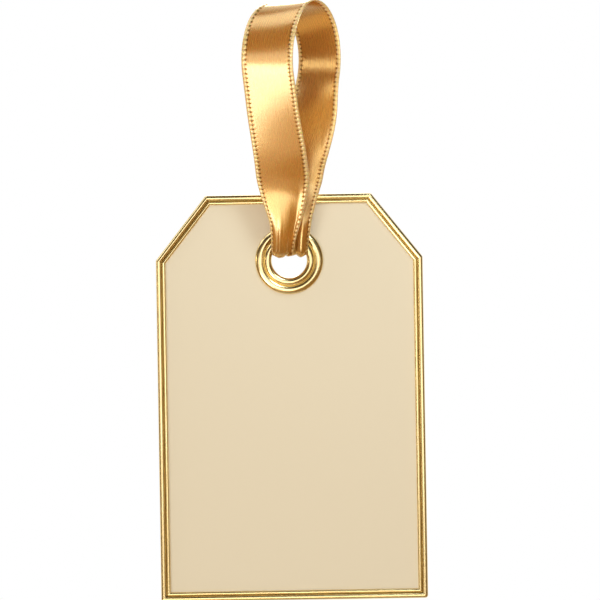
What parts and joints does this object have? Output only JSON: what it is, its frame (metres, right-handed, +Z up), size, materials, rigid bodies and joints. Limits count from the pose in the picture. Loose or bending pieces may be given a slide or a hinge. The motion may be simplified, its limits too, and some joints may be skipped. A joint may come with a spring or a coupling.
{
  "type": "gift tag",
  "caption": "Rectangular card gift tag with clipped top corners, a double-beaded gold rim and a gold eyelet, hung on a loop of satin ribbon with corded edges.",
  "frame": {"origin": "the hanging point, inside the top of the ribbon loop", "axes": "+Z up, +X to the right as the tag's front is seen, +Y from the front of the tag to its back"},
  "size_m": [0.05, 0.0244, 0.1122],
  "materials": {
    "board": "matte",
    "pearl_paper": "pearl satin",
    "gold_brass": "polished",
    "satin_ribbon": "satin"
  },
  "bodies": {
    "loop": {"ribbon_loop": "satin_ribbon"},
    "knot": {"ribbon_knot": "satin_ribbon", "ribbon_tail_left": "satin_ribbon", "ribbon_tail_right": "satin_ribbon"},
    "tag": {"card_core": "board", "front_paper": "pearl_paper", "back_paper": "pearl_paper", "rim": "gold_brass", "eyelet_barrel": "gold_brass", "eyelet_washer": "gold_brass"}
  },
  "joints": [
    {"name": "tag_swing", "type": "hinge", "parent": "loop", "child": "knot", "pos_m": [0, 0.00885, -0.0473], "axis": [-1, 0, 0], "range_deg": [0, 110]},
    {"name": "tag_turn", "type": "hinge", "parent": "knot", "child": "tag", "pos_m": [0, 0.011, -0.0478], "axis": [0, -1, 0], "continuous": true}
  ]
}
